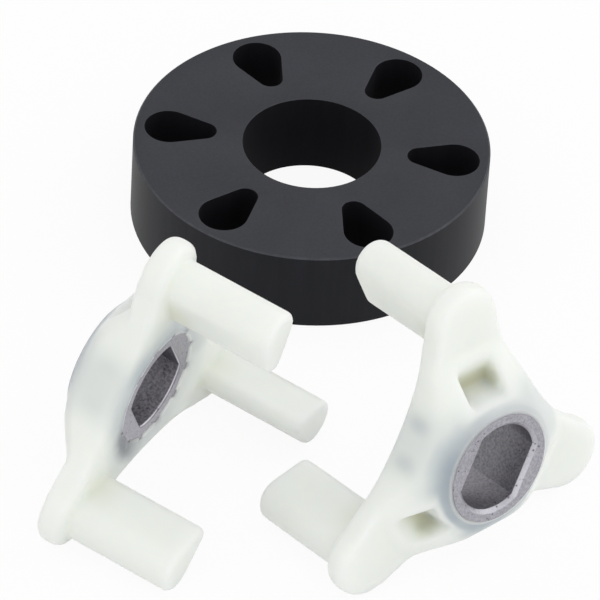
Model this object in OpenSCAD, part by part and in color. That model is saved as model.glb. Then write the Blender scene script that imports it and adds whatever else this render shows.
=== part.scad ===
// Washer motor coupler: a rubber isolator and two identical drive forks, lying beside each other.
// Lengths are in millimetres. The isolator lies on the table at Z = 0, with its axis on Z.
// A fork has its own frame: its axis is Z, the back of its hub is Z = 0 and its prongs point to +Z.

/* [Isolator] */
// Outer diameter of the rubber isolator
isolator_d = 63.5; // [57:0.5:72]
// Thickness of the rubber isolator
isolator_h = 15.6; // [10:0.1:19]
// Diameter of its open centre
isolator_bore_d = 24.6; // [16:0.1:31]
// Chamfer along its outer edges
isolator_edge = 0.3; // [0.1:0.1:1]
// Turn of the sockets about its axis
socket_turn = -5; // [-30:1:30]

/* [Prong pattern] */
// Wall left between a socket's fat end and the isolator's rim
rim_wall = 1.8; // [1:0.1:4]
// Distance between the centres of a teardrop's fat end and thin end
teardrop_reach = 6.3; // [4:0.1:7]
// Diameter of a socket's fat end
socket_fat_d = 8.7; // [7:0.1:10]
// Diameter of a socket's thin end
socket_thin_d = 4.4; // [3.6:0.1:6]
// Gap all round between a prong and its socket
prong_clearance = 0.25; // [0.1:0.05:0.5]

/* [Fork] */
// Depth of the fork from the back of its hub to the face that the prongs stand on
fork_depth = 12; // [11.5:0.1:14]
// Length of the prongs beyond that face
prong_len = 20.2; // [12:0.1:26]
// Round along the prongs' tips
tip_round = 0.9; // [0.4:0.1:1.2]
// Diameter of an arm's round end
arm_end_d = 13; // [11.6:0.1:15]
// Thickness of an arm's end
arm_end_t = 4.9; // [4:0.1:6]
// Round along the edges of an arm's end
arm_end_round = 1.6; // [0.5:0.1:1.9]
// Distance from the axis to the waist between two arms
waist_r = 14.8; // [14:0.1:17]
// Depth from the back of the hub to where the waist's side starts to round towards the back
waist_round_at = 4.4; // [3.6:0.1:5]
// Length of each step of that round
waist_round_step = 0.8; // [0.4:0.1:1]
// Chamfer along the waist's front edge
waist_edge = 0.7; // [0.2:0.1:1]
// Outer diameter of the hub's barrel
hub_d = 25.6; // [24.6:0.1:27]
// Wall of the collar round the insert's back end
collar_wall = 1.1; // [0.8:0.1:1.4]
// Depth from the back of the hub to the collar's rim
collar_set = 0.3; // [0.1:0.1:0.8]
// Depth from the back of the hub to the shoulder at the collar's foot
shoulder_set = 1; // [0.9:0.1:1.6]
// Diameter of that shoulder
shoulder_d = 28; // [27:0.1:30]
// Drop of the shoulder from the collar's foot to its edge
shoulder_drop = 0.8; // [0.3:0.1:1.4]
// Width of the pocket in the back of each arm
pocket_w = 7.6; // [5:0.1:9]
// Depth from the back of the hub to the pocket's floor
pocket_floor = 8; // [6.5:0.1:9]
// Length of the level part of the pocket's floor, from the barrel outward
pocket_level = 1.6; // [0.5:0.1:3]

/* [Hub insert] */
// Outer diameter of the hub insert
insert_d = 20.1; // [19:0.1:20.6]
// Length of the hub insert
insert_len = 11.3; // [9:0.1:11.4]
// Diameter of the shaft hole
shaft_hole_d = 15.9; // [12:0.1:16.6]
// Width of the shaft hole across its two flats
shaft_flats_w = 12.8; // [9:0.1:14.5]
// Lead-in chamfer at the back of the shaft hole
lead_in = 0.7; // [0.2:0.1:0.9]
// Chamfer at the front of the shaft hole
front_edge = 0.3; // [0.1:0.1:0.6]
// Number of splines that key the insert into the fork
spline_count = 12; // [6:1:14]
// Height of a spline
spline_h = 1.1; // [0.5:0.1:1.4]
// Width of a spline at its root
spline_root_w = 2.6; // [1.6:0.1:3.2]
// Width of a spline at its tip
spline_tip_w = 0.8; // [0.4:0.1:1.4]
// Distance from the insert's back end to the start of the splines
spline_start = 3; // [2.6:0.1:6]
// Gap all round between the insert and its seat in the fork
insert_gap = 0.04; // [0.02:0.01:0.1]

/* [Layout] */
// Place of the motor fork's hub across the table
motor_fork_x = -33.5; // [-60:0.5:-32]
// Place of the motor fork's hub along the table
motor_fork_y = -66; // [-90:0.5:-62]
// Heading of the motor fork's prongs
motor_fork_turn = -29; // [-60:1:0]
// Place of the gearcase fork's hub across the table
gearcase_fork_x = 34.5; // [33:0.5:60]
// Place of the gearcase fork's hub along the table
gearcase_fork_y = -88; // [-110:0.5:-80]
// Heading of the gearcase fork's prongs
gearcase_fork_turn = 132; // [115:1:160]

/* [Hidden] */
$fn = 96;

// Amount that a cut runs past the face it opens
past = 1;
// Steps in a quarter round
round_steps = 5;
// Three arms a third of a turn apart, the first one pointing up in the fork's frame
arm_count = 3;
arm_step = 360 / arm_count;
arm_angles = [for (i = [0 : arm_count - 1]) 90 + i * arm_step];
// The flats of the shaft hole face along the second arm
flats_angle = arm_angles[1];

// Each fork uses every second one of the isolator's sockets
socket_count = 2 * arm_count;
prong_circle_r = isolator_d / 2 - rim_wall - socket_fat_d / 2;
thin_circle_r = prong_circle_r - teardrop_reach;
prong_fat_r = socket_fat_d / 2 - prong_clearance;
prong_thin_r = socket_thin_d / 2 - prong_clearance;

arm_end_r = arm_end_d / 2;
arm_back = fork_depth - arm_end_t;
hub_r = hub_d / 2;
insert_r = insert_d / 2;
spline_r = insert_r + spline_h;
collar_r = insert_r + collar_wall;
prong_tip = fork_depth + prong_len;

// Amount that joined forms run into each other
overlap = 0.4;

// The web's side is an arc that dips to the waist and runs a little into both arm ends
arc_gain = waist_r - arm_end_r + overlap;
arc_centre = (pow(prong_circle_r, 2) - pow(arc_gain, 2))
    / (2 * (prong_circle_r * cos(arm_step / 2) - arc_gain));
arc_r = arc_centre - waist_r;
// Distance along an arm to where the two arcs run into its end
to_arc = arc_centre * [cos(arm_step / 2), sin(arm_step / 2)] - [prong_circle_r, 0];
arc_foot = prong_circle_r + to_arc[0] * (arm_end_r - overlap) / norm(to_arc);

// Turn from one step of the waist's round to the next
waist_turn = 15;

// The back of the arms falls in a cone from the shoulder's edge to the arm ends
shoulder_r = shoulder_d / 2;
shoulder_end = shoulder_set + shoulder_drop;
cone_end_r = prong_circle_r - arm_end_r + arm_end_round;
cone_fall = (arm_back - shoulder_end) / (cone_end_r - shoulder_r);
function cone_depth(r) = shoulder_end + (r - shoulder_r) * cone_fall;
fork_reach = prong_circle_r + arm_end_r;

// A fork lies on the rounded edges of two arm ends and of the two prongs there
lower_arm = prong_circle_r * cos(arm_step / 2);
end_edge = [fork_depth - arm_end_round, lower_arm + arm_end_r - arm_end_round];
tip_edge = [prong_tip - tip_round, lower_arm + prong_fat_r - tip_round];
edge_run = tip_edge - end_edge;
rest_tilt = asin((arm_end_round - tip_round) / norm(edge_run)) - atan2(edge_run[1], edge_run[0]);
rest_height = arm_end_round + end_edge[0] * sin(rest_tilt) + end_edge[1] * cos(rest_tilt);

// Two round ends joined by their tangents, the fat one outward
module teardrop(fat_r, thin_r) {
    lean = 90 + asin((fat_r - thin_r) / teardrop_reach);
    ends = [[prong_circle_r, fat_r], [thin_circle_r, thin_r]];
    for (e = ends)
        translate([e[0], 0])
            circle(e[1]);
    feet = [for (e = ends) [e[0] + e[1] * cos(lean), e[1] * sin(lean)]];
    polygon([feet[0], feet[1], [feet[1][0], -feet[1][1]], [feet[0][0], -feet[0][1]]]);
}

// Points of a quarter round from one direction to another, about a centre
function quarter(centre, r, from) = [
    for (i = [0 : round_steps])
    centre + r * [cos(from + i * 90 / round_steps), sin(from + i * 90 / round_steps)]
];

// A disc that stands on Z = 0, with its foot and top rims rounded
module rounded_disc(r, h, foot, top) {
    rotate_extrude()
        polygon(concat(
            [[0, 0]],
            foot > 0 ? quarter([r - foot, foot], foot, -90) : [[r, 0]],
            quarter([r - top, h - top], top, 0),
            [[0, h]]
        ));
}

module rubber_isolator() {
    outer_r = isolator_d / 2;
    bore_r = isolator_bore_d / 2;
    color("#414246")
        difference() {
            rotate_extrude()
                polygon([
                    [bore_r, 0],
                    [outer_r - isolator_edge, 0],
                    [outer_r, isolator_edge],
                    [outer_r, isolator_h - isolator_edge],
                    [outer_r - isolator_edge, isolator_h],
                    [bore_r, isolator_h]
                ]);
            for (i = [0 : socket_count - 1])
                rotate(i * 360 / socket_count + socket_turn)
                    translate([0, 0, -past])
                        linear_extrude(isolator_h + 2 * past)
                            teardrop(socket_fat_d / 2, socket_thin_d / 2);
        }
}

// One prong along its arm, from inside the arm's end to its rounded tip
module prong() {
    root = arm_back + arm_end_round;
    translate([0, 0, root])
        hull()
            for (e = [[prong_circle_r, prong_fat_r], [thin_circle_r, prong_thin_r]])
                translate([e[0], 0])
                    rounded_disc(e[1], prong_tip - root, 0, tip_round, $fn = 32);
}

// Outline of the web between the arm ends, before its sides are hollowed
module web_outline() {
    polygon([
        for (a = arm_angles)
        for (side = [-arm_end_r, arm_end_r])
        [arc_foot * cos(a) - side * sin(a), arc_foot * sin(a) + side * cos(a)]
    ]);
}

// What hollows a side of the web, flared to round the waist towards the back and to break its front edge
module waist_cut() {
    first = [arc_r, waist_round_at];
    second = first + waist_round_step * [sin(waist_turn), -cos(waist_turn)];
    third = second + waist_round_step * [sin(2 * waist_turn), -cos(2 * waist_turn)];
    run = (third[1] + past) / cos(3 * waist_turn);
    rotate_extrude($fn = 180)
        polygon([
            [0, -past],
            third + run * [sin(3 * waist_turn), -cos(3 * waist_turn)],
            third,
            second,
            first,
            [arc_r, fork_depth - waist_edge],
            [arc_r + waist_edge + past, fork_depth + past],
            [0, fork_depth + past]
        ]);
}

// The web with its collar, shoulder and falling back, and in each arm a pocket that stops at the barrel
module web() {
    difference() {
        intersection() {
            linear_extrude(fork_depth)
                web_outline();
            rotate_extrude()
                polygon([
                    [0, collar_set],
                    [collar_r, collar_set],
                    [collar_r, shoulder_set],
                    [shoulder_r, shoulder_end],
                    [cone_end_r, arm_back],
                    [fork_reach, arm_back],
                    [fork_reach, fork_depth + past],
                    [0, fork_depth + past]
                ]);
        }
        for (a = arm_angles)
            rotate(a + arm_step / 2)
                translate([arc_centre, 0])
                    waist_cut();
        difference() {
            for (a = arm_angles)
                rotate(a)
                    pocket();
            cylinder(r = hub_r, h = fork_depth);
        }
    }
}

// The pocket's floor is level by the barrel and then rises to the back of the arm
module pocket() {
    pocket_end = cone_end_r - arm_end_round;
    rotate([90, 0, 0])
        linear_extrude(pocket_w, center = true)
            polygon([
                [insert_r, 0],
                [insert_r, pocket_floor],
                [hub_r + pocket_level, pocket_floor],
                [pocket_end, cone_depth(pocket_end)],
                [pocket_end, 0]
            ]);
}

// Outside of the insert, grown by a gap for its seat and run on to a given length
module insert_form(gap, len) {
    cylinder(r = insert_r + gap, h = len);
    root_r = insert_r - spline_h;
    translate([0, 0, spline_start - gap])
        linear_extrude(len - spline_start + gap)
            for (i = [0 : spline_count - 1])
                rotate(flats_angle + (i + 0.5) * 360 / spline_count)
                    polygon([
                        [root_r, -spline_root_w / 2 - gap],
                        [spline_r + gap, -spline_tip_w / 2 - gap],
                        [spline_r + gap, spline_tip_w / 2 + gap],
                        [root_r, spline_root_w / 2 + gap]
                    ]);
}

module drive_fork() {
    difference() {
        union() {
            web();
            for (a = arm_angles)
                rotate(a) {
                    translate([prong_circle_r, 0, arm_back])
                        rounded_disc(arm_end_r, arm_end_t, arm_end_round, arm_end_round);
                    prong();
                }
        }
        translate([0, 0, -past])
            cylinder(r = insert_r + insert_gap, h = 2 * past);
        insert_form(insert_gap, fork_depth + past);
    }
}

// A flare that opens the shaft hole by an edge at Z = 0, and narrows to the hole's own size
module hole_flare(edge) {
    hole_r = shaft_hole_d / 2;
    flat = shaft_flats_w / 2;
    intersection() {
        cylinder(r1 = hole_r + edge, r2 = hole_r, h = edge);
        rotate([90, 0, 0])
            linear_extrude(insert_d, center = true)
                polygon([
                    [-flat - edge, 0],
                    [flat + edge, 0],
                    [flat, edge],
                    [-flat, edge]
                ]);
    }
}

// The shaft hole with its two flats, the lead-in at its back end and a smaller chamfer at its front
module shaft_hole() {
    flat = shaft_flats_w / 2;
    rotate(flats_angle) {
        intersection() {
            translate([0, 0, -past])
                cylinder(d = shaft_hole_d, h = insert_len + 2 * past);
            translate([-flat, -insert_r, -past])
                cube([2 * flat, insert_d, insert_len + 2 * past]);
        }
        hole_flare(lead_in);
        translate([0, 0, insert_len])
            mirror([0, 0, 1])
                hole_flare(front_edge);
    }
}

module hub_insert() {
    difference() {
        insert_form(0, insert_len);
        shaft_hole();
    }
}

// Lays a fork's frame on the table, prongs level with its heading but for the rest tilt
module at_rest(x, y, turn) {
    translate([x, y, rest_height])
        rotate([0, 0, turn])
            rotate([0, rest_tilt, 0])
                rotate([90, 0, 90])
                    children();
}

module at_motor_fork() {
    at_rest(motor_fork_x, motor_fork_y, motor_fork_turn)
        children();
}

module at_gearcase_fork() {
    at_rest(gearcase_fork_x, gearcase_fork_y, gearcase_fork_turn)
        children();
}

module motor_fork() {
    color("#e4e8de")
        at_motor_fork()
            drive_fork();
}

module motor_hub_insert() {
    color("#8f8b92")
        at_motor_fork()
            hub_insert();
}

module gearcase_fork() {
    color("#e4e8de")
        at_gearcase_fork()
            drive_fork();
}

module gearcase_hub_insert() {
    color("#8f8b92")
        at_gearcase_fork()
            hub_insert();
}

rubber_isolator();
motor_fork();
motor_hub_insert();
gearcase_fork();
gearcase_hub_insert();
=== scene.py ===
import math

import bmesh
import bpy
from mathutils import Matrix, Vector, noise


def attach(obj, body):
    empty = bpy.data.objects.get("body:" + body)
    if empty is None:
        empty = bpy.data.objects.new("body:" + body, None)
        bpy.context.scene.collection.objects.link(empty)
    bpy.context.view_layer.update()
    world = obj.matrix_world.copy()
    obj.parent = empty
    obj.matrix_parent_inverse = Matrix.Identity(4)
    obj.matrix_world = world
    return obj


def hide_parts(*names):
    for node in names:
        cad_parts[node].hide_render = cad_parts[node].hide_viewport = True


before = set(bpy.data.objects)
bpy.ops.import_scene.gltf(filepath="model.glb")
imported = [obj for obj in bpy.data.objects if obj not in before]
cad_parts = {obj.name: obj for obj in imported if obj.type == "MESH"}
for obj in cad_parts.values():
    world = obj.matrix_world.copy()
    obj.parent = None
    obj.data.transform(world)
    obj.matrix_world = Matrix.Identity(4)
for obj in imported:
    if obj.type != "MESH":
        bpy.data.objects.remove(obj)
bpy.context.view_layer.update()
mm = 0.001
scene = bpy.context.scene
print("frame loaded:", sorted(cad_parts))

mergeGap = 1e-6             # metres between loose corners of a CAD mesh that are one
flatAngle = 1               # degrees, faces closer than that are one flat
creaseAngle = 20            # degrees, edges that stay crisp on rubber and metal
noiseFrom, noiseTo = 0.3, 0.7   # where most of a noise texture's values lie


# sRGB hex to the linear values that sockets take
def linear(hexColour):
    parts = [int(hexColour[i:i + 2], 16) / 255 for i in (1, 3, 5)]
    return [c / 12.92 if c <= 0.04045 else ((c + 0.055) / 1.055) ** 2.4 for c in parts] + [1]


# a pattern's scale from its real size in mm
def scaleOf(size):
    return 1000 / size


# adds a node, sets its properties, then fills or links its inputs
def addNode(tree, kind, settings={}, inputs={}):
    node = tree.nodes.new("ShaderNode" + kind)
    for key, value in settings.items():
        setattr(node, key, value)
    for key, value in inputs.items():
        if isinstance(value, bpy.types.NodeSocket):
            tree.links.new(value, node.inputs[key])
        else:
            node.inputs[key].default_value = value
    return node


def newMaterial(name):
    material = bpy.data.materials.new(name)
    material.use_nodes = True
    material.node_tree.nodes.clear()
    return material, material.node_tree


# 0 to 1 between two values, with soft ends
def ease(low, high, value):
    t = min(max((value - low) / (high - low), 0), 1)
    return t * t * (3 - 2 * t)


# a merged copy of a CAD node's mesh, ready for bmesh operators
def nodeCopy(node):
    bm = bmesh.new()
    bm.from_mesh(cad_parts[node].data)
    bmesh.ops.remove_doubles(bm, verts=bm.verts, dist=mergeGap)
    return bm


def placePiece(bm, name, node, material):
    mesh = bpy.data.meshes.new(name)
    bm.to_mesh(mesh)
    bm.free()
    piece = bpy.data.objects.new(name, mesh)
    scene.collection.objects.link(piece)
    mesh.materials.append(material)
    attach(piece, "root")
    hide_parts(node)
    return piece


# smooth faces that stay apart at the sharper edges
def softShade(bm, angle):
    bm.normal_update()
    for face in bm.faces:
        face.smooth = True
    for edge in bm.edges:
        edge.smooth = edge.calc_face_angle(0) < math.radians(angle)


# breaks the sharp edges of a merged CAD copy with a small round
def breakEdges(bm, width, angle, segments):
    bmesh.ops.dissolve_limit(bm, angle_limit=math.radians(flatAngle), verts=bm.verts, edges=bm.edges)
    sharp = [e for e in bm.edges if e.is_manifold and e.calc_face_angle() > math.radians(angle)]
    bmesh.ops.bevel(bm, geom=sharp, offset=width * mm, offset_type="OFFSET", affect="EDGES",
                    segments=segments, profile=0.5, material=-1, clamp_overlap=True)
    bmesh.ops.triangulate(bm, faces=[f for f in bm.faces if len(f.verts) > 4])
    softShade(bm, creaseAngle)


rubber = {
    "face": "#3b3c41", "wall": "#15161b", "holeShade": "#0d0d12", "rim": "#45464b",
    "flankFrom": 30.5, "flankSoft": 0.3,    # mm from the axis, past the walls of the bore and the sockets, which are painted darker as shade
    "faceRoughness": 0.7, "wallRoughness": 0.48, "holeRoughness": 0.85,
    "shine": 0.14, "ior": 1.52,
    "lying": (0.6, 0.95),                   # how level a face is, from wall to top
    "leaning": (0.3, 0.7), "flatter": (0.99, 0.9),  # how level the broken edges are, from both sides, which bounds their painted highlight
    "cloud": 14, "cloudShade": (0.93, 1.07),        # mm, slow changes in the bloom
    "grain": 0.35, "grainShade": (0.92, 1.08),      # mm, moulded grain, drawn coarser so that it shows
    "grainBump": 0.25, "grainDepth": 0.03,          # mm deep
    "streak": 1.3, "streakPull": 0.06,      # mm between faint streaks on the wall, drawn out upright
    "streakFrom": 0.35, "streakTo": 0.75, "streakShade": (0.93, 1.28),
    "edge": 0.28, "edgeAngle": 60, "edgeSteps": 3,
}


# black nitrile rubber, compression moulded: matt faces with a faint bloom, smoother walls; the walls are
# painted darker as shade, the bore and the sockets darker still, and the broken edges carry a painted
# highlight
def mouldedRubber():
    material, tree = newMaterial("black nitrile rubber moulded")
    coords = addNode(tree, "TexCoord").outputs["Object"]
    cloud = addNode(tree, "TexNoise", {}, {"Vector": coords, "Scale": scaleOf(rubber["cloud"]), "Detail": 3})
    grain = addNode(tree, "TexNoise", {}, {"Vector": coords, "Scale": scaleOf(rubber["grain"]), "Detail": 2})

    # top, outer wall darker than the top partly by painted shade, walls of the bore and the sockets painted
    # darker still as shade, and a painted highlight on the rims between them
    facing = addNode(tree, "SeparateXYZ", {}, {0: addNode(tree, "NewGeometry").outputs["Normal"]})
    level = facing.outputs["Z"]
    lying = addNode(tree, "MapRange", {}, {0: level, 1: rubber["lying"][0], 2: rubber["lying"][1]})
    flat = addNode(tree, "Mapping", {}, {"Vector": coords, "Scale": (1, 1, 0)})
    out = addNode(tree, "VectorMath", {"operation": "LENGTH"}, {0: flat.outputs[0]})
    flank = addNode(tree, "MapRange", {}, {
        0: out.outputs["Value"],
        1: (rubber["flankFrom"] - rubber["flankSoft"]) * mm,
        2: (rubber["flankFrom"] + rubber["flankSoft"]) * mm})
    wall = addNode(tree, "Mix", {"data_type": "RGBA"},
                   {0: flank.outputs[0], 6: linear(rubber["holeShade"]), 7: linear(rubber["wall"])})
    tone = addNode(tree, "Mix", {"data_type": "RGBA"},
                   {0: lying.outputs[0], 6: wall.outputs[2], 7: linear(rubber["face"])})
    leaning = addNode(tree, "MapRange", {}, {0: level, 1: rubber["leaning"][0], 2: rubber["leaning"][1]})
    flatter = addNode(tree, "MapRange", {}, {0: level, 1: rubber["flatter"][0], 2: rubber["flatter"][1]})
    rim = addNode(tree, "Math", {"operation": "MULTIPLY"}, {0: leaning.outputs[0], 1: flatter.outputs[0]})
    rimmed = addNode(tree, "Mix", {"data_type": "RGBA"},
                     {0: rim.outputs[0], 6: tone.outputs[2], 7: linear(rubber["rim"])})

    # bloom, grain and streaks
    bloom = addNode(tree, "MapRange", {}, {
        0: cloud.outputs["Fac"], 1: noiseFrom, 2: noiseTo,
        3: rubber["cloudShade"][0], 4: rubber["cloudShade"][1]})
    fleck = addNode(tree, "MapRange", {}, {
        0: grain.outputs["Fac"], 1: noiseFrom, 2: noiseTo,
        3: rubber["grainShade"][0], 4: rubber["grainShade"][1]})
    upright = addNode(tree, "Mapping", {}, {"Vector": coords, "Scale": (1, 1, rubber["streakPull"])})
    streak = addNode(tree, "TexNoise", {}, {
        "Vector": upright.outputs[0], "Scale": scaleOf(rubber["streak"]), "Detail": 2})
    lines = addNode(tree, "MapRange", {}, {
        0: streak.outputs["Fac"], 1: rubber["streakFrom"], 2: rubber["streakTo"],
        3: rubber["streakShade"][0], 4: rubber["streakShade"][1]})
    wallLines = addNode(tree, "Mix", {}, {0: lying.outputs[0], 2: lines.outputs[0], 3: 1.0})
    mixed = addNode(tree, "Math", {"operation": "MULTIPLY"}, {0: bloom.outputs[0], 1: fleck.outputs[0]})
    shade = addNode(tree, "Math", {"operation": "MULTIPLY"}, {0: mixed.outputs[0], 1: wallLines.outputs[0]})
    colour = addNode(tree, "VectorMath", {"operation": "SCALE"},
                     {0: rimmed.outputs[2], "Scale": shade.outputs[0]})

    wallRough = addNode(tree, "MapRange", {}, {
        0: flank.outputs[0], 3: rubber["holeRoughness"], 4: rubber["wallRoughness"]})
    rough = addNode(tree, "Mix", {}, {
        0: lying.outputs[0], 2: wallRough.outputs[0], 3: rubber["faceRoughness"]})
    bump = addNode(tree, "Bump", {}, {
        "Height": grain.outputs["Fac"], "Strength": rubber["grainBump"],
        "Distance": rubber["grainDepth"] * mm})
    shader = addNode(tree, "BsdfPrincipled", {}, {
        "Base Color": colour.outputs[0], "Roughness": rough.outputs[0], "IOR": rubber["ior"],
        "Specular IOR Level": rubber["shine"], "Normal": bump.outputs[0]})
    addNode(tree, "OutputMaterial", {}, {"Surface": shader.outputs[0]})
    return material


nylon = {
    "body": "#eff2ed", "metalGreyAndShade": "#9fabb4", "thickShadeTone": "#d2d2ba", "speck": "#8d9088", "smear": "#85888d",
    "roughness": 0.42, "roughSpread": 0.06, "shine": 0.36, "ior": 1.53,
    "scatter": 4.5, "scatterShare": 0.85, "scatterTint": (1, 0.95, 0.85),   # mm that light spreads
    "cloud": 9, "cloudShade": (0.985, 1.01), "cloudMetal": (0.75, 1.0),     # mm, milky clouds
    "grain": 0.6, "grainBump": 0.12, "grainDepth": 0.03,                    # mm, and mm deep
    "speckSpacing": 7, "speckSize": 0.2, "speckShare": 0.6,                 # mm
    "skin": 0.32, "softFactor": 0.5,        # mm of the even skin, and how far a pass rounds it
    "softPasses": 10, "webPasses": 80, "waistPasses": 160,
    "creaseAngle": 40,                      # degrees, edges of the seat that stay crisp
}


# natural nylon 6, injection moulded: milky, lets light in, yellower in thick walls, and grey where metal
# lies under it;
# both tints also carry painted shade, in the pockets, under the upper prong, round the hub and round the
# seat
def mouldedNylon():
    material, tree = newMaterial("natural nylon injection moulded")
    coords = addNode(tree, "TexCoord").outputs["Object"]
    cloud = addNode(tree, "TexNoise", {}, {"Vector": coords, "Scale": scaleOf(nylon["cloud"]), "Detail": 3})
    grain = addNode(tree, "TexNoise", {}, {"Vector": coords, "Scale": scaleOf(nylon["grain"]), "Detail": 2})
    metalGreyAndShade = addNode(tree, "Attribute", {"attribute_name": "metalGreyAndShade"})
    thickShadeTone = addNode(tree, "Attribute", {"attribute_name": "thickTintAndShade"})
    smear = addNode(tree, "Attribute", {"attribute_name": "smear"})

    # the metal's grey and the thick walls' yellow, both of which carry painted shade
    patchy = addNode(tree, "MapRange", {}, {
        0: cloud.outputs["Fac"], 1: noiseFrom, 2: noiseTo,
        3: nylon["cloudMetal"][0], 4: nylon["cloudMetal"][1]})
    metalShare = addNode(tree, "Math", {"operation": "MULTIPLY"},
                         {0: metalGreyAndShade.outputs["Fac"], 1: patchy.outputs[0]})
    greyed = addNode(tree, "Mix", {"data_type": "RGBA"},
                     {0: metalShare.outputs[0], 6: linear(nylon["body"]), 7: linear(nylon["metalGreyAndShade"])})
    yellowed = addNode(tree, "Mix", {"data_type": "RGBA"},
                       {0: thickShadeTone.outputs["Fac"], 6: greyed.outputs[2], 7: linear(nylon["thickShadeTone"])})
    rubbed = addNode(tree, "Mix", {"data_type": "RGBA"},
                     {0: smear.outputs["Fac"], 6: yellowed.outputs[2], 7: linear(nylon["smear"])})
    cells = addNode(tree, "TexVoronoi", {}, {"Vector": coords, "Scale": scaleOf(nylon["speckSpacing"])})
    nearDot = addNode(tree, "MapRange", {}, {
        0: cells.outputs["Distance"], 1: nylon["speckSize"] / nylon["speckSpacing"], 2: 0,
        3: 0, 4: nylon["speckShare"]})
    specks = addNode(tree, "Mix", {"data_type": "RGBA"},
                     {0: nearDot.outputs[0], 6: rubbed.outputs[2], 7: linear(nylon["speck"])})
    milky = addNode(tree, "MapRange", {}, {
        0: cloud.outputs["Fac"], 1: noiseFrom, 2: noiseTo,
        3: nylon["cloudShade"][0], 4: nylon["cloudShade"][1]})
    colour = addNode(tree, "VectorMath", {"operation": "SCALE"},
                     {0: specks.outputs[2], "Scale": milky.outputs[0]})

    rough = addNode(tree, "MapRange", {}, {
        0: grain.outputs["Fac"], 1: noiseFrom, 2: noiseTo,
        3: nylon["roughness"] - nylon["roughSpread"], 4: nylon["roughness"] + nylon["roughSpread"]})
    bump = addNode(tree, "Bump", {}, {
        "Height": grain.outputs["Fac"], "Strength": nylon["grainBump"],
        "Distance": nylon["grainDepth"] * mm})
    shader = addNode(tree, "BsdfPrincipled", {}, {
        "Base Color": colour.outputs[0], "Roughness": rough.outputs[0], "IOR": nylon["ior"],
        "Specular IOR Level": nylon["shine"], "Subsurface Weight": nylon["scatterShare"],
        "Subsurface Radius": nylon["scatterTint"], "Subsurface Scale": nylon["scatter"] * mm,
        "Normal": bump.outputs[0]})
    addNode(tree, "OutputMaterial", {}, {"Surface": shader.outputs[0]})
    return material


metal = {
    "body": "#94929a", "bright": "#c6c4cb", "pore": "#58565d",
    "bore": "#7b797f", "boreGrain": "#a3a1a7", "chamferHighlight": "#d2d0d6",
    "roughness": 0.48, "smoother": 0.08, "rougher": 0.1,
    "powder": 0.42, "powderFrom": 0.36, "powderTo": 0.66,   # mm, powder grain, drawn coarse so that it shows
    "faceGrain": (0.1, 0.7), "wallGrain": (0, 0.85),        # least and most share of the bright grain
    "pores": 0.8, "poreEdge": 0.3, "poreFloor": 0.12,       # mm apart, drawn coarse, and shares of that
    "mottle": 2.6, "mottleFrom": 0.45, "mottleTo": 0.62,    # mm, patches with few pores and with many
    "mottlePores": (0.1, 0.9),
    "bump": 0.35, "bumpDepth": 0.04,                        # mm deep
    "boreFrom": 0.7, "boreTo": 11, "boreSoft": 0.15,        # mm along the axis, the wall of the shaft hole, painted darker as shade
    "length": 11.3, "frontSoft": 0.04,                      # mm, the front chamfer ends at the front face
    "backFrom": 0.03, "backTo": 0.08, "backSoft": 0.05,     # mm, the back chamfer, whose painted highlight is weaker
    "backShare": 0.4,
    "edge": 0.12, "edgeAngle": 30, "edgeSteps": 2,
}
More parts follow.
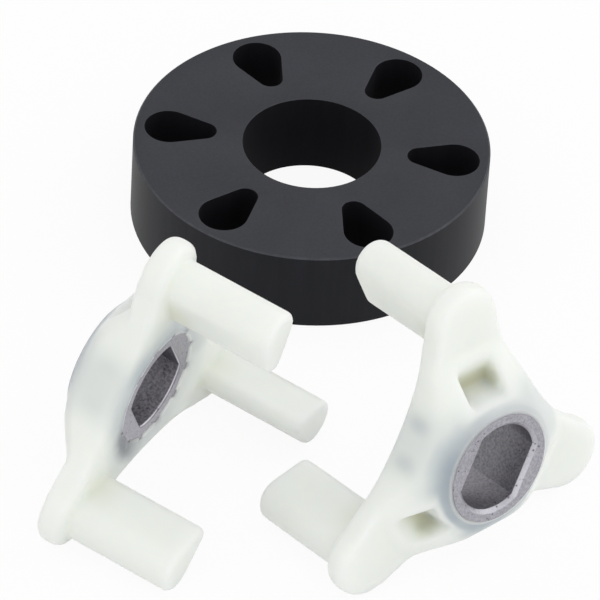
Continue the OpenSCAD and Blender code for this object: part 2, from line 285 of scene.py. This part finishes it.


# iron powder, pressed and sintered: dull grey, mottled, full of fine dark pores, with painted shade in the
# shaft hole and a painted highlight on its chamfers
def sinteredIron():
    material, tree = newMaterial("sintered iron pressed")
    coords = addNode(tree, "TexCoord").outputs["Object"]
    powder = addNode(tree, "TexNoise", {}, {
        "Vector": coords, "Scale": scaleOf(metal["powder"]), "Detail": 3})
    mottle = addNode(tree, "TexNoise", {}, {
        "Vector": coords, "Scale": scaleOf(metal["mottle"]), "Detail": 2})
    pores = addNode(tree, "TexVoronoi", {}, {"Vector": coords, "Scale": scaleOf(metal["pores"])})
    pit = addNode(tree, "MapRange", {}, {
        0: pores.outputs["Distance"], 1: metal["poreEdge"], 2: metal["poreFloor"], 3: 0, 4: 1})
    few = addNode(tree, "MapRange", {}, {
        0: mottle.outputs["Fac"], 1: metal["mottleFrom"], 2: metal["mottleTo"],
        3: metal["mottlePores"][0], 4: metal["mottlePores"][1]})
    poreShare = addNode(tree, "Math", {"operation": "MULTIPLY"}, {0: pit.outputs[0], 1: few.outputs[0]})
    wallShare = addNode(tree, "MapRange", {}, {
        0: powder.outputs["Fac"], 1: metal["powderFrom"], 2: metal["powderTo"],
        3: metal["wallGrain"][0], 4: metal["wallGrain"][1]})
    faceShare = addNode(tree, "MapRange", {}, {
        0: powder.outputs["Fac"], 1: metal["powderFrom"], 2: metal["powderTo"],
        3: metal["faceGrain"][0], 4: metal["faceGrain"][1]})
    pressed = addNode(tree, "Mix", {"data_type": "RGBA"},
                      {0: faceShare.outputs[0], 6: linear(metal["body"]), 7: linear(metal["bright"])})
    wall = addNode(tree, "Mix", {"data_type": "RGBA"},
                   {0: wallShare.outputs[0], 6: linear(metal["bore"]), 7: linear(metal["boreGrain"])})

    # the wall of the shaft hole, painted darker than the pressed faces as shade inside the hole
    own = addNode(tree, "Attribute", {"attribute_name": "forkFrame"})
    along = addNode(tree, "SeparateXYZ", {}, {0: own.outputs["Vector"]}).outputs["Z"]
    deeper = addNode(tree, "MapRange", {}, {
        0: along, 1: metal["boreFrom"], 2: metal["boreFrom"] + metal["boreSoft"]})
    short = addNode(tree, "MapRange", {}, {
        0: along, 1: metal["boreTo"], 2: metal["boreTo"] - metal["boreSoft"]})
    within = addNode(tree, "Math", {"operation": "MULTIPLY"}, {0: deeper.outputs[0], 1: short.outputs[0]})
    boreShaded = addNode(tree, "Mix", {"data_type": "RGBA"},
                       {0: within.outputs[0], 6: pressed.outputs[2], 7: wall.outputs[2]})

    # its two chamfers, with a painted highlight
    pastBore = addNode(tree, "MapRange", {}, {
        0: along, 1: metal["boreTo"], 2: metal["boreTo"] + metal["frontSoft"]})
    notFace = addNode(tree, "MapRange", {}, {
        0: along, 1: metal["length"], 2: metal["length"] - metal["frontSoft"]})
    front = addNode(tree, "Math", {"operation": "MULTIPLY"}, {0: pastBore.outputs[0], 1: notFace.outputs[0]})
    offBack = addNode(tree, "MapRange", {}, {0: along, 1: metal["backFrom"], 2: metal["backTo"]})
    shallow = addNode(tree, "MapRange", {}, {
        0: along, 1: metal["boreFrom"], 2: metal["boreFrom"] - metal["backSoft"], 4: metal["backShare"]})
    back = addNode(tree, "Math", {"operation": "MULTIPLY"}, {0: offBack.outputs[0], 1: shallow.outputs[0]})
    chamfer = addNode(tree, "Math", {"operation": "MAXIMUM"}, {0: front.outputs[0], 1: back.outputs[0]})
    chamferHighlight = addNode(tree, "Mix", {"data_type": "RGBA"},
                     {0: chamfer.outputs[0], 6: boreShaded.outputs[2], 7: linear(metal["chamferHighlight"])})
    colour = addNode(tree, "Mix", {"data_type": "RGBA"},
                     {0: poreShare.outputs[0], 6: chamferHighlight.outputs[2], 7: linear(metal["pore"])})

    rough = addNode(tree, "MapRange", {}, {
        0: powder.outputs["Fac"], 1: noiseFrom, 2: noiseTo,
        3: metal["roughness"] - metal["smoother"], 4: metal["roughness"] + metal["rougher"]})
    height = addNode(tree, "Math", {"operation": "SUBTRACT"},
                     {0: powder.outputs["Fac"], 1: poreShare.outputs[0]})
    bump = addNode(tree, "Bump", {}, {
        "Height": height.outputs[0], "Strength": metal["bump"], "Distance": metal["bumpDepth"] * mm})
    shader = addNode(tree, "BsdfPrincipled", {}, {
        "Base Color": colour.outputs[2], "Metallic": 1.0, "Roughness": rough.outputs[0],
        "Normal": bump.outputs[0]})
    addNode(tree, "OutputMaterial", {}, {"Surface": shader.outputs[0]})
    return material


rubberMaterial = mouldedRubber()
nylonMaterial = mouldedNylon()
ironMaterial = sinteredIron()
print("materials ready")

# the isolator keeps its CAD form, with its rims and the mouths of the sockets and the bore broken a little
ring = nodeCopy("rubber_isolator")
breakEdges(ring, rubber["edge"], rubber["edgeAngle"], rubber["edgeSteps"])
isolator = placePiece(ring, "isolator_ring", "rubber_isolator", rubberMaterial)
print("isolator:", len(isolator.data.polygons), "faces")

# where each fork lies, in mm and degrees, how much its splines show, and the side of its hub where the
# painted shade is deepest, and how deep
forks = {
    "motor_fork": {
        "name": "motor_drive_fork", "insert": "motor_hub_insert", "insertName": "motor_insert",
        "x": -33.5, "y": -66, "turn": -29, "tips": 0.08, "hubShadeAt": 150, "hubShade": 0.6},
    "gearcase_fork": {
        "name": "gearcase_drive_fork", "insert": "gearcase_hub_insert", "insertName": "gearcase_insert",
        "x": 34.5, "y": -88, "turn": 132, "tips": 0.36, "hubShadeAt": 330, "hubShade": 0.95},
}
forkForm = {
    "tilt": 6.56322, "height": 20.3727,     # how a fork lies: degrees, and mm up to its axis
    "armAngles": (90, 210, 330), "armStep": 120, "waistAngle": 30,
    "depth": 12, "collarSet": 0.1,          # mm along the axis: the front face, and the collar's back
    "seat": 10.05, "seatGap": 0.05,         # mm, radius of the insert, and air left round it
    "splines": 12, "splineTurn": 15, "splineFrom": 3,
    "splineRoot": (8.95, 2.6), "splineTip": (11.15, 0.8),   # mm out from the axis, and mm wide
    "lip": 11.36, "lipBreak": 0.25,         # mm up to the nylon closed over the splines, and its broken edge
    "dish": 0.45, "dishOut": (13.6, 10.6), "dishFrom": 11,  # mm that the front sinks towards the seat
    # share of each spline left open at the mouth
    "notches": (0.75, 0.25, 0.6, 0.85, 0.6, 0.3, 0.9, 0.35, 0.6, 0.2, 0.45, 0.25),
    "fillGrow": (0.3, 0.4), "fillLap": 0.4, "fillSides": 96,    # mm, what fills seat and splines for a while
    "cutLength": 20, "cutPast": 2, "cutLap": 0.02, "cutSides": 128,     # mm, the tools that cut the seat
}


# a fork's own frame: its axis along Z from the back of the hub, the first arm up Y
def forkPlace(spot):
    heading = Matrix.Rotation(math.radians(spot["turn"]), 4, "Z")
    lean = Matrix.Rotation(math.radians(forkForm["tilt"]), 4, "Y")
    lay = Matrix.Rotation(math.radians(90), 4, "Z") @ Matrix.Rotation(math.radians(90), 4, "X")
    stand = Matrix.Translation((spot["x"] * mm, spot["y"] * mm, forkForm["height"] * mm))
    return stand @ (heading @ lean) @ lay


# a new point attribute, filled from a function of the place in the fork's frame in mm
def markPoints(mesh, name, kind, place, value):
    toFork = place.inverted()
    layer = mesh.attributes.new(name, kind, "POINT")
    key = "vector" if kind == "FLOAT_VECTOR" else "value"
    for vertex, point in zip(mesh.vertices, layer.data):
        setattr(point, key, value((toFork @ vertex.co) / mm))


# degrees round the axis from an angle, or from the nearest of several at even steps
def angleOff(p, angle, step=360):
    return abs((math.degrees(math.atan2(p.y, p.x)) - angle + step / 2) % step - step / 2)


# each pair runs from none to full: Out in mm from the axis, Turn in degrees round it,
# From and To in mm along it
metalShadeShow = {
    "armTurn": (36, 20), "armFrom": (1, 1.6), "armCover": 0.8,
    "webOut": (17.5, 14), "webTo": (12.8, 11.9), "webShare": 0.27,
    # the hub's grey is partly painted shade, deepest on one side of each fork
    "hubOut": (16.5, 11), "hubTo": (5.5, 2.5), "hubTurn": (140, 50), "hubLeast": 0.33,
    # the collar's grey is partly painted shade at its foot
    "collarOut": (12.1, 11.3), "collarTo": (1.9, 1.1), "collarShare": 0.42,
    "tipTurn": (11, 0), "tipOut": (16.6, 15), "tipFrom": (3.5, 7), "tipTo": (11, 7.5),
    # painted shade round the mouth of the seat, with some metal grey in it
    "mouthShadeAt": 150, "mouthShadeTurn": (120, 50), "mouthShadeLeast": 0.12, "mouthShadeShare": 0.33,
    "mouthShadeOut": (17, 11.5), "mouthShadeFrom": (9.5, 11.3), "mouthShadeTo": (13.2, 12.2),
    # painted shadow of the upper prong on the front face below it
    "prongShadowAt": 102, "prongShadowTurn": (48, 15), "prongShadowShare": 0.3,
    "prongShadowOut": (22, 14), "prongShadowFrom": (10.8, 11.8), "prongShadowTo": (13.4, 12.4),
    "lipOut": (10.9, 10.4), "lipTo": (0.9, 0.5), "lipFrom": (11.3, 11.45), "lipClear": 0.75,
}


# grey of the metal through thin nylon over the hub and the waists, with painted shade that is deepest on one
# side of the hub, at the collar's foot, round the mouth of the seat and under the upper prong; the lips at
# the seat are kept free of both
def metalGreyAndShadeOf(p, spot):
    show = metalShadeShow
    radius = math.hypot(p.x, p.y)
    inArm = ease(*show["armTurn"], angleOff(p, forkForm["armAngles"][0], forkForm["armStep"]))
    thin = 1 - show["armCover"] * inArm * ease(*show["armFrom"], p.z)
    web = show["webShare"] * ease(*show["webOut"], radius) * ease(*show["webTo"], p.z) * thin
    shadedSide = show["hubLeast"] + (1 - show["hubLeast"]) * ease(*show["hubTurn"], angleOff(p, spot["hubShadeAt"]))
    hub = spot["hubShade"] * shadedSide * ease(*show["hubOut"], radius) * ease(*show["hubTo"], p.z) * thin
    collar = show["collarShare"] * ease(*show["collarOut"], radius) * ease(*show["collarTo"], p.z)
    tip = ease(*show["tipTurn"], angleOff(p, forkForm["splineTurn"], 360 / forkForm["splines"]))
    tip *= ease(*show["tipOut"], radius) * ease(*show["tipFrom"], p.z) * ease(*show["tipTo"], p.z)
    mouthShade = show["mouthShadeLeast"] + show["mouthShadeShare"] * ease(*show["mouthShadeTurn"], angleOff(p, show["mouthShadeAt"]))
    mouthShade *= ease(*show["mouthShadeOut"], radius) * ease(*show["mouthShadeFrom"], p.z) * ease(*show["mouthShadeTo"], p.z)
    prongShadow = show["prongShadowShare"] * ease(*show["prongShadowTurn"], angleOff(p, show["prongShadowAt"]))
    prongShadow *= ease(*show["prongShadowOut"], radius) * ease(*show["prongShadowFrom"], p.z) * ease(*show["prongShadowTo"], p.z)
    lip = ease(*show["lipOut"], radius) * max(ease(*show["lipTo"], p.z), ease(*show["lipFrom"], p.z))
    over = max(web, hub, collar) + spot["tips"] * tip + mouthShade + prongShadow
    return min(1, over) * (1 - show["lipClear"] * lip)


# pairs as above, with In and Out in mm along the arm and Side in mm off its middle
thickShadeShow = {
    "pocketSide": (4.6, 3.2), "pocketIn": (12.4, 13.4), "pocketOut": (17.5, 13.6),
    "pocketFrom": (3.5, 6.5), "pocketTo": (10, 8.5),
    "rootSide": (5, 3), "rootIn": (15, 17), "rootOut": (26.5, 20),
    "rootFrom": (11.9, 12.8), "rootTo": (19, 13.5),
    "rootShares": (0.42, 0.26, 0.2),        # most on the upper prong, whose underside lies in shade
}


# the yellow of thick walls, with painted shade: the floor of each pocket by the barrel, and the inner root
# of each prong
def thickTintAndShadeOf(p):
    show = thickShadeShow
    most = 0
    for angle, share in zip(forkForm["armAngles"], show["rootShares"]):
        armX = math.cos(math.radians(angle))
        armY = math.sin(math.radians(angle))
        along = p.x * armX + p.y * armY
        side = abs(p.y * armX - p.x * armY)
        pocket = ease(*show["pocketSide"], side)
        pocket *= ease(*show["pocketIn"], along) * ease(*show["pocketOut"], along)
        pocket *= ease(*show["pocketFrom"], p.z) * ease(*show["pocketTo"], p.z)
        root = ease(*show["rootSide"], side)
        root *= ease(*show["rootIn"], along) * ease(*show["rootOut"], along)
        root *= ease(*show["rootFrom"], p.z) * ease(*show["rootTo"], p.z)
        most = max(most, pocket, share * root)
    return most


smearShow = {
    "at": 214, "turn": (48, 8), "out": (15, 11.6), "from": (10.6, 11.2),
    "patch": 2, "patchShare": 0.6, "patchSeed": 3.7,    # mm, uneven patches in it
}


# metal rubbed off on the nylon round the prong side of the insert
def rubbedMetal(p):
    near = ease(*smearShow["from"], p.z) * ease(*smearShow["out"], math.hypot(p.x, p.y))
    near *= ease(*smearShow["turn"], angleOff(p, smearShow["at"]))
    patch = noise.noise(Vector((p.x / smearShow["patch"], p.y / smearShow["patch"], smearShow["patchSeed"])))
    return near * min(1, 1 + smearShow["patchShare"] * patch)


softWhere = {
    "webOut": (9.8, 11.6), "armEnd": (19, 22), "armEndShare": 0.7,
    "waistTurn": (46, 30), "waistOut": (10.2, 12), "offProngs": (14, 12.6),
}


# the web's own edges are rounder than the rest, and the collar runs out into its back
def webSoft(p):
    radius = math.hypot(p.x, p.y)
    inner = 1 - softWhere["armEndShare"] * ease(*softWhere["armEnd"], radius)
    return ease(*softWhere["webOut"], radius) * inner * ease(*softWhere["offProngs"], p.z)


# between the arms the web runs from front to back in one round
def waistSoft(p):
    between = ease(*softWhere["waistTurn"], angleOff(p, forkForm["waistAngle"], forkForm["armStep"]))
    return between * ease(*softWhere["waistOut"], math.hypot(p.x, p.y)) * ease(*softWhere["offProngs"], p.z)


# a round solid on the fork's axis, between two depths in mm
def axisCone(bm, place, low, high, lowRadius, highRadius, sides):
    middle = place @ Matrix.Translation((0, 0, (low + high) / 2 * mm))
    bmesh.ops.create_cone(bm, cap_ends=True, segments=sides, radius1=lowRadius * mm, radius2=highRadius * mm,
                          depth=(high - low) * mm, matrix=middle)


# what fills the seat while the skin is rounded, flush with the collar and the front
def fillSeat(bm, place):
    seat = forkForm["seat"] + forkForm["fillGrow"][0]
    keyed = forkForm["splineTip"][0] + forkForm["fillGrow"][1]
    start = forkForm["splineFrom"]
    axisCone(bm, place, forkForm["collarSet"], start, seat, seat, forkForm["fillSides"])
    axisCone(bm, place, start - forkForm["fillLap"], forkForm["depth"], keyed, keyed, forkForm["fillSides"])


# the round hole that the insert leaves in the nylon
def seatHole(place):
    bm = bmesh.new()
    radius = forkForm["seat"] + forkForm["seatGap"]
    low = (forkForm["depth"] - forkForm["cutLength"]) / 2
    axisCone(bm, place, low, low + forkForm["cutLength"], radius, radius, forkForm["cutSides"])
    return bm


# the broken edge of its mouth, a cone that starts inside the hole and ends past the dished front
def seatMouth(place):
    bm = bmesh.new()
    broken = forkForm["lipBreak"]
    inner = forkForm["seat"] + forkForm["seatGap"] - broken
    front = forkForm["depth"] - forkForm["dish"]
    axisCone(bm, place, front - 2 * broken, front + broken, inner, inner + 3 * broken, forkForm["cutSides"])
    return bm


# one groove of a spline, between two depths, with a share of its height
def splineGroove(bm, turn, low, high, share):
    rootOut, rootWide = forkForm["splineRoot"]
    tipOut, tipWide = forkForm["splineTip"]
    gap = forkForm["seatGap"]
    made = bmesh.ops.create_cube(bm, size=1)["verts"]
    for vertex in made:
        tip = vertex.co.x > 0
        out = forkForm["seat"] + share * (tipOut - forkForm["seat"]) + gap if tip else rootOut
        wide = rootWide + (tipWide - rootWide) * (out - rootOut) / (tipOut - rootOut) + 2 * gap
        depth = high if vertex.co.z > 0 else low
        vertex.co = Vector((out, math.copysign(wide / 2, vertex.co.y), depth)) * mm
    bmesh.ops.rotate(bm, verts=made, cent=(0, 0, 0), matrix=Matrix.Rotation(math.radians(turn), 3, "Z"))


# the grooves round the seat, which the nylon closes over at the front but for a notch at each
def seatGrooves(place, low, high, shares):
    bm = bmesh.new()
    for i, share in enumerate(shares):
        splineGroove(bm, forkForm["splineTurn"] + i * 360 / forkForm["splines"], low, high, share)
    bmesh.ops.transform(bm, matrix=place, verts=bm.verts)
    return bm


# applies a piece's modifiers
def shapedMesh(piece, name):
    mesh = bpy.data.meshes.new_from_object(piece.evaluated_get(bpy.context.evaluated_depsgraph_get()))
    piece.modifiers.clear()
    piece.data = mesh
    mesh.name = name
    return mesh


for node, spot in forks.items():
    place = forkPlace(spot)
    toFork = place.inverted()

    # an even skin over the CAD form with its seat filled, then rounded, most at the waists
    filled = nodeCopy(node)
    fillSeat(filled, place)
    skin = placePiece(filled, spot["name"], node, nylonMaterial)
    even = skin.modifiers.new("evenSkin", "REMESH")
    even.mode = "VOXEL"
    even.voxel_size = nylon["skin"] * mm
    even.use_smooth_shade = True
    mesh = shapedMesh(skin, spot["name"])
    for name, weight in (("web", webSoft), ("waist", waistSoft)):
        group = skin.vertex_groups.new(name=name)
        for vertex in mesh.vertices:
            group.add([vertex.index], weight((toFork @ vertex.co) / mm), "REPLACE")
    everywhere = ""
    for name, passes in ((everywhere, nylon["softPasses"]), ("web", nylon["webPasses"]),
                         ("waist", nylon["waistPasses"])):
        rounds = skin.modifiers.new("rounds", "SMOOTH")
        rounds.factor = nylon["softFactor"]
        rounds.iterations = passes
        rounds.vertex_group = name
    mesh = shapedMesh(skin, spot["name"])
    skin.vertex_groups.clear()

    # the front is dished a little towards the seat, which is cut last, so that its mouth stays crisp
    for vertex in mesh.vertices:
        p = (toFork @ vertex.co) / mm
        if p.z > forkForm["dishFrom"]:
            p.z -= forkForm["dish"] * ease(*forkForm["dishOut"], math.hypot(p.x, p.y))
            vertex.co = place @ (p * mm)
    whole = [1] * forkForm["splines"]
    keyed = seatGrooves(place, forkForm["splineFrom"] - forkForm["seatGap"], forkForm["lip"], whole)
    notched = seatGrooves(place, forkForm["lip"] - forkForm["cutLap"],
                          forkForm["depth"] + forkForm["cutPast"], forkForm["notches"])
    for form in (seatHole(place), seatMouth(place), keyed, notched):
        tool = bpy.data.objects.new("seatTool", bpy.data.meshes.new("seatTool"))
        form.to_mesh(tool.data)
        form.free()
        scene.collection.objects.link(tool)
        cut = skin.modifiers.new("seat", "BOOLEAN")
        cut.operation = "DIFFERENCE"
        cut.solver = "MANIFOLD"
        cut.object = tool
        mesh = shapedMesh(skin, spot["name"])
        bpy.data.meshes.remove(tool.data)
    shaped = bmesh.new()
    shaped.from_mesh(mesh)
    softShade(shaped, nylon["creaseAngle"])
    shaped.to_mesh(mesh)
    shaped.free()
    markPoints(mesh, "metalGreyAndShade", "FLOAT", place, lambda p: metalGreyAndShadeOf(p, spot))
    markPoints(mesh, "thickTintAndShade", "FLOAT", place, thickTintAndShadeOf)
    markPoints(mesh, "smear", "FLOAT", place, rubbedMetal)
    print(spot["name"], len(mesh.polygons), "faces")

    sleeve = nodeCopy(spot["insert"])
    breakEdges(sleeve, metal["edge"], metal["edgeAngle"], metal["edgeSteps"])
    insert = placePiece(sleeve, spot["insertName"], spot["insert"], ironMaterial)
    markPoints(insert.data, "forkFrame", "FLOAT_VECTOR", place, lambda p: p)
    print(spot["insertName"], len(insert.data.polygons), "faces")

studio = {
    "floor": "#f6f6f6", "floorSize": 6, "floorGlow": 0.92,
    "worldLight": 0.86, "white": (1, 1, 1, 1),
    "aim": (0, -0.045, 0.01),               # metres, the middle of the set
    # metres across, watts, and where each lamp hangs
    "overheadBox": (0.9, 0.3, (-0.12, 0.05, 1.0)),
    "sideBox": (0.7, 1.2, (0.85, 0.25, 0.5)),
    "frontBox": (0.8, 1.1, (0.4, -1.05, 0.35)),
}


# 1 where the camera looks, also by way of a reflection or through something clear
def seenDirectly(tree):
    rays = addNode(tree, "LightPath").outputs
    glossy = addNode(tree, "Math", {"operation": "MAXIMUM"},
                     {0: rays["Is Camera Ray"], 1: rays["Is Glossy Ray"]})
    clear = addNode(tree, "Math", {"operation": "MAXIMUM"},
                    {0: glossy.outputs[0], 1: rays["Is Transmission Ray"]})
    return clear.outputs[0]


# the floor reads as white paper, and keeps a faint shadow
floorMesh = bmesh.new()
bmesh.ops.create_grid(floorMesh, x_segments=1, y_segments=1, size=studio["floorSize"])
mesh = bpy.data.meshes.new("floor")
floorMesh.to_mesh(mesh)
floorMesh.free()
floor = bpy.data.objects.new("floor", mesh)
scene.collection.objects.link(floor)
material, tree = newMaterial("white studio paper")
share = addNode(tree, "Math", {"operation": "MULTIPLY"}, {0: seenDirectly(tree), 1: studio["floorGlow"]})
paper = addNode(tree, "BsdfDiffuse", {}, {"Color": linear(studio["floor"])})
glow = addNode(tree, "Emission", {}, {"Color": studio["white"], "Strength": 1.0})
both = addNode(tree, "MixShader", {}, {0: share.outputs[0], 1: paper.outputs[0], 2: glow.outputs[0]})
addNode(tree, "OutputMaterial", {}, {"Surface": both.outputs[0]})
mesh.materials.append(material)

world = bpy.data.worlds.new("white room")
scene.world = world
world.use_nodes = True
tree = world.node_tree
tree.nodes.clear()
level = addNode(tree, "MapRange", {}, {0: seenDirectly(tree), 3: studio["worldLight"], 4: 1.0})
sky = addNode(tree, "Background", {}, {"Color": studio["white"], "Strength": level.outputs[0]})
addNode(tree, "OutputWorld", {}, {"Surface": sky.outputs[0]})

for name in ("overheadBox", "sideBox", "frontBox"):
    size, power, spot = studio[name]
    lamp = bpy.data.lights.new(name, "AREA")
    lamp.shape = "DISK"
    lamp.size = size
    lamp.energy = power
    box = bpy.data.objects.new(name, lamp)
    box.location = spot
    box.rotation_euler = (Vector(studio["aim"]) - Vector(spot)).to_track_quat("-Z", "Y").to_euler()
    scene.collection.objects.link(box)

# the camera stands where the ring's two ellipses put it, with a long lens:
# metres, degrees, pixels of the frame, and mm of the sensor
shot = {
    "distance": 1.143, "elevation": 40.01, "yaw": 0.02, "pitch": 0.81, "roll": 3.54,
    "focal": 6387.8, "frame": 600, "sensor": 36, "near": 0.05, "far": 50,
}
rise = math.sin(math.radians(shot["elevation"]))
run = math.cos(math.radians(shot["elevation"]))
aimed = Matrix(((1, 0, 0), (0, -rise, -run), (0, run, -rise)))
roll = Matrix.Rotation(math.radians(shot["roll"]), 3, "Z")
yaw = Matrix.Rotation(math.radians(shot["yaw"]), 3, "Y")
pitch = Matrix.Rotation(math.radians(shot["pitch"]), 3, "X")
toPicture = roll @ yaw @ pitch @ aimed
lens = bpy.data.cameras.new("photoLens")
lens.sensor_width = shot["sensor"]
lens.lens = shot["sensor"] * shot["focal"] / shot["frame"]
lens.clip_start = shot["near"]
lens.clip_end = shot["far"]
camera = bpy.data.objects.new("photoCamera", lens)
axes = Matrix((toPicture[0], -toPicture[1], -toPicture[2])).transposed()
stand = Matrix.Translation((0, -shot["distance"] * run, shot["distance"] * rise))
camera.matrix_world = stand @ axes.to_4x4()
scene.collection.objects.link(camera)
scene.camera = camera
scene.view_settings.view_transform = "Standard"
print("studio ready")
